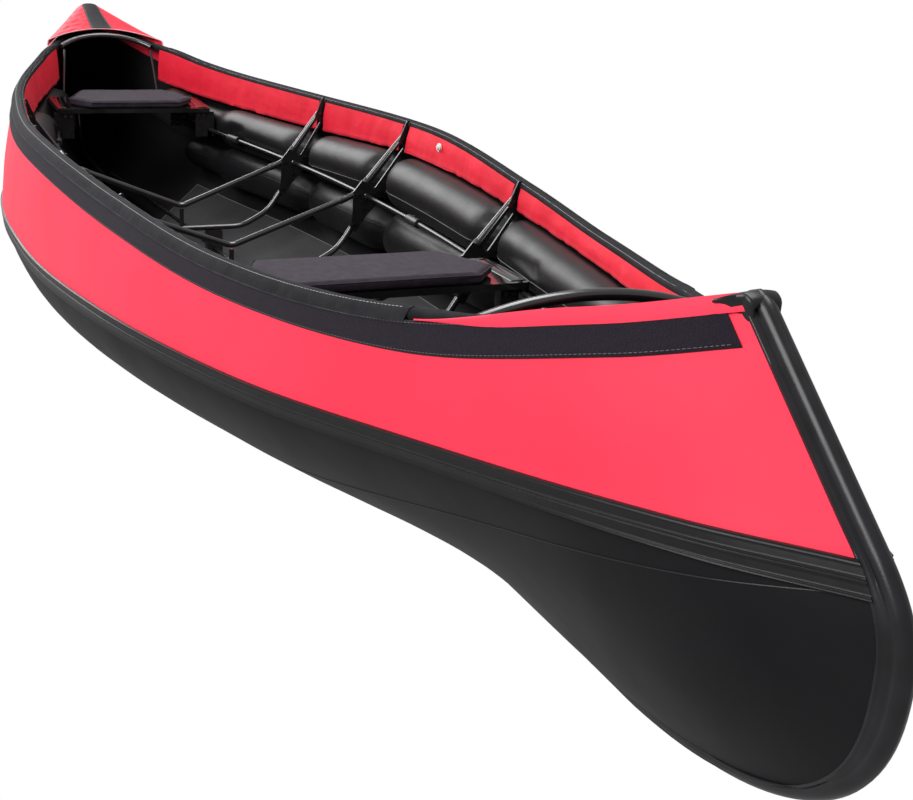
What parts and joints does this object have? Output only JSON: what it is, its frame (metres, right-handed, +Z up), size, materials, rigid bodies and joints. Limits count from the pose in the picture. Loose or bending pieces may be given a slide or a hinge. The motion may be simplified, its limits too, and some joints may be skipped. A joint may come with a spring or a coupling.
{
  "type": "folding canoe",
  "caption": "Folding open canoe: a fabric skin with air tubes along its sides, stretched over a tube frame with cross ribs, two seats and a short stern deck.",
  "frame": {"origin": "centre of the box round the canoe, on its underside, which is the flat strip along the keel amidships", "axes": "+X toward the bow, +Y to port, +Z up"},
  "size_m": [4.2498, 0.961, 0.5943],
  "materials": {
    "hull_pvc": "satin black coated fabric",
    "red_panel": "bright red coated fabric, low sheen",
    "red_lining": "bright red coated fabric with a stitched hem",
    "red_deck": "bright red coated fabric, lightly wrinkled",
    "black_webbing": "woven black webbing",
    "rub_strake": "ribbed black rubber",
    "loop_tape": "dark fuzzy hook-and-loop tape",
    "sleeve_fabric": "grey-black woven sleeve",
    "stem_band": "ribbed black rubber with highlights",
    "air_tube_pvc": "satin-gloss black air tube fabric",
    "valve_plug": "off-white moulded plastic",
    "frame_plastic": "black moulded plastic",
    "button_steel": "bare steel",
    "bolts": "dark bolt heads",
    "mat_foam": "dark grey foam sheet",
    "seat_board": "glossy black",
    "pad_fabric": "dark purple-grey woven cover",
    "bracket_plate": "black painted plate",
    "frame_tube": "black anodised tube"
  },
  "bodies": {
    "boat": {"arch_struts": "frame_tube", "bottom_stringer_port": "frame_tube", "bottom_stringer_starboard": "frame_tube", "bow_arch": "frame_tube", "bow_flap_port": "red_panel", "bow_flap_starboard": "red_panel", "bow_rib_cross_bar": "frame_tube", "bow_rib_floor_bar": "frame_tube", "bow_rib_side_plates": "bracket_plate", "bow_stem_band": "stem_band", "bow_stem_cap": "stem_band", "bow_stem_post": "frame_tube", "floor_mat": "mat_foam", "gunwale_sleeve_port": "sleeve_fabric", "gunwale_sleeve_starboard": "sleeve_fabric", "gunwale_tube_port": "frame_tube", "gunwale_tube_starboard": "frame_tube", "hull_skin": "hull_pvc", "lining_port": "red_lining", "lining_starboard": "red_lining", "lower_air_tube_port": "air_tube_pvc", "lower_air_tube_starboard": "air_tube_pvc", "middle_rib_cross_bar": "frame_tube", "middle_rib_floor_bar": "frame_tube", "middle_rib_side_plates": "bracket_plate", "rib_bolts": "bolts", "rib_clips": "frame_plastic", "rub_strake_port": "rub_strake", "rub_strake_starboard": "rub_strake", "side_panel_port": "red_panel", "side_panel_starboard": "red_panel", "side_stringer_port": "frame_tube", "side_stringer_starboard": "frame_tube", "stern_arch": "frame_tube", "stern_deck": "red_deck", "stern_deck_strip": "black_webbing", "stern_rib_cross_bar": "frame_tube", "stern_rib_floor_bar": "frame_tube", "stern_rib_side_plates": "bracket_plate", "stern_stem_band": "stem_band", "stern_stem_cap": "stem_band", "stern_stem_post": "frame_tube", "stringer_connectors": "frame_plastic", "upper_air_tube_port": "air_tube_pvc", "upper_air_tube_starboard": "air_tube_pvc", "velcro_band_port": "loop_tape", "velcro_band_starboard": "loop_tape"},
    "bow_seat": {"bow_seat_board": "seat_board", "bow_seat_pad": "pad_fabric", "bow_seat_hangers": "bracket_plate", "bow_seat_bolts": "bolts"},
    "stern_seat": {"stern_seat_board": "seat_board", "stern_seat_pad": "pad_fabric", "stern_seat_hangers": "bracket_plate", "stern_seat_bolts": "bolts"},
    "port_plug": {"valve_plug_port": "valve_plug"},
    "starboard_plug": {"valve_plug_starboard": "valve_plug"},
    "buttons": {"spring_buttons": "button_steel"}
  },
  "joints": [
    {"name": "bow_seat_lift", "type": "slide", "parent": "boat", "child": "bow_seat", "axis": [0, 0, 1], "range_m": [0, 0.12]},
    {"name": "stern_seat_lift", "type": "slide", "parent": "boat", "child": "stern_seat", "axis": [0, 0, 1], "range_m": [0, 0.12]},
    {"name": "port_plug_pull", "type": "slide", "parent": "boat", "child": "port_plug", "axis": [0, -1, 0], "range_m": [0, 0.02]},
    {"name": "starboard_plug_pull", "type": "slide", "parent": "boat", "child": "starboard_plug", "axis": [0, 1, 0], "range_m": [0, 0.02]},
    {"name": "button_press", "type": "slide", "parent": "boat", "child": "buttons", "axis": [0, 0, -1], "range_m": [0, 0.002], "stiffness_N_per_m": 300}
  ]
}
